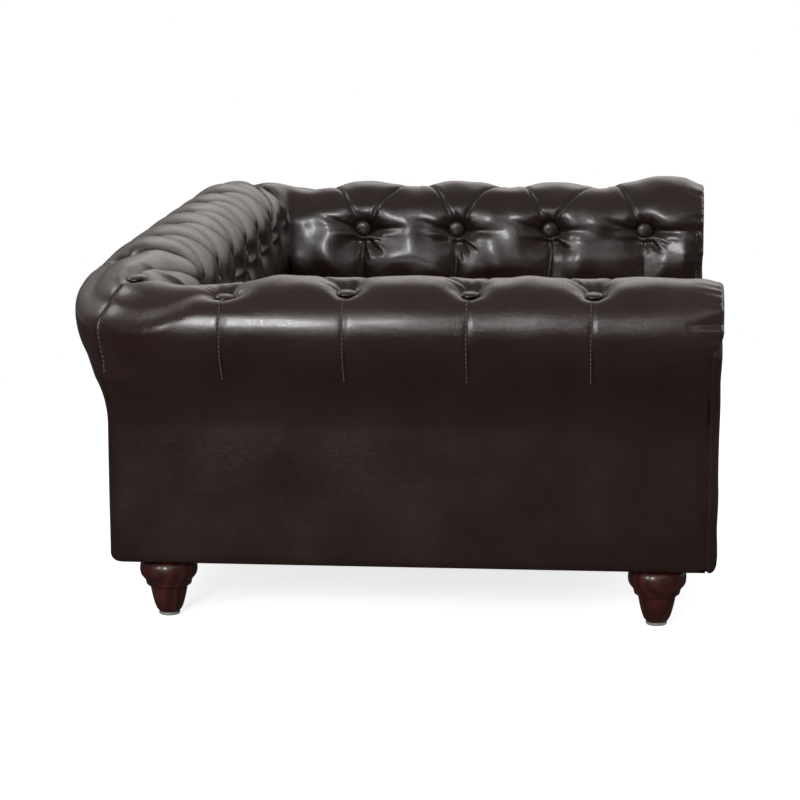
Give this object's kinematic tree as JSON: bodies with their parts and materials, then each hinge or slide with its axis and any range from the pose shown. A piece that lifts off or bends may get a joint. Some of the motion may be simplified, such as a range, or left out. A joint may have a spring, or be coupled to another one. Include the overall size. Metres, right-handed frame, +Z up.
{
  "type": "pet sofa bed",
  "caption": "Tufted pet sofa bed with rolled arms and back on a wooden frame, covered buttons, padded arm facings, turned feet and a lift-out seat cushion with a zipped cover.",
  "frame": {"origin": "on the floor plane below the centre of the bounding box", "axes": "+X across to the right when seen from the open front, -Y out of the open front, +Z up"},
  "size_m": [0.9, 0.606, 0.3415],
  "materials": {
    "frame_wood": "rough sawn",
    "plywood": "unfinished",
    "liner_board": "plain board",
    "cover": "semi-gloss",
    "button_cover": "semi-gloss",
    "cushion_cover": "semi-gloss",
    "foam": "open foam",
    "zip_tape": "woven tape",
    "zip_metal": "antique",
    "dust_cloth": "matte non-woven",
    "foot_wood": "dark semi-gloss lacquer",
    "glide": "matte",
    "steel": "zinc plated"
  },
  "bodies": {
    "frame": {"rail_front": "frame_wood", "rail_back": "frame_wood", "rail_left": "frame_wood", "rail_right": "frame_wood", "corner_block_front_left": "frame_wood", "corner_block_front_right": "frame_wood", "corner_block_back_left": "frame_wood", "corner_block_back_right": "frame_wood", "deck_batten_left": "frame_wood", "deck_batten_right": "frame_wood", "seat_deck": "plywood", "corner_post_left": "frame_wood", "corner_post_right": "frame_wood", "arm_board_front_left": "plywood", "arm_board_front_right": "plywood", "arm_board_rear_left": "plywood", "arm_board_rear_right": "plywood", "arm_rail_top_left": "frame_wood", "arm_rail_top_right": "frame_wood", "arm_rail_tuck_left": "frame_wood", "arm_rail_tuck_right": "frame_wood", "arm_rail_seat_left": "frame_wood", "arm_rail_seat_right": "frame_wood", "back_board_left": "plywood", "back_board_middle": "plywood", "back_board_right": "plywood", "back_rail_top": "frame_wood", "back_rail_tuck": "frame_wood", "back_rail_seat": "frame_wood", "arm_liner_left": "liner_board", "arm_liner_right": "liner_board", "back_liner": "liner_board", "arm_pad_left": "cover", "arm_pad_right": "cover", "back_pad": "cover", "arm_buttons_left": "button_cover", "arm_buttons_right": "button_cover", "back_buttons_row": "button_cover", "corner_buttons": "button_cover", "outside_panel_left": "cover", "outside_panel_right": "cover", "outside_panel_back": "cover", "arm_facing_left": "cover", "arm_facing_right": "cover", "front_border": "cover", "dust_cover": "dust_cloth", "foot_front_left": "foot_wood", "foot_front_right": "foot_wood", "foot_back_left": "foot_wood", "foot_back_right": "foot_wood", "foot_glides": "glide", "foot_screws": "steel", "foot_nuts": "steel"},
    "cushion": {"cushion_cover": "cushion_cover", "cushion_foam": "foam", "cushion_zip": "zip_tape"},
    "slider": {"zip_slider": "zip_metal"}
  },
  "joints": [
    {"name": "cushion_lift", "type": "slide", "parent": "frame", "child": "cushion", "axis": [0, 0, 1], "range_m": [0, 0.25]},
    {"name": "zip_slide", "type": "slide", "parent": "cushion", "child": "slider", "axis": [1, 0, 0], "range_m": [0, 0.534]}
  ]
}
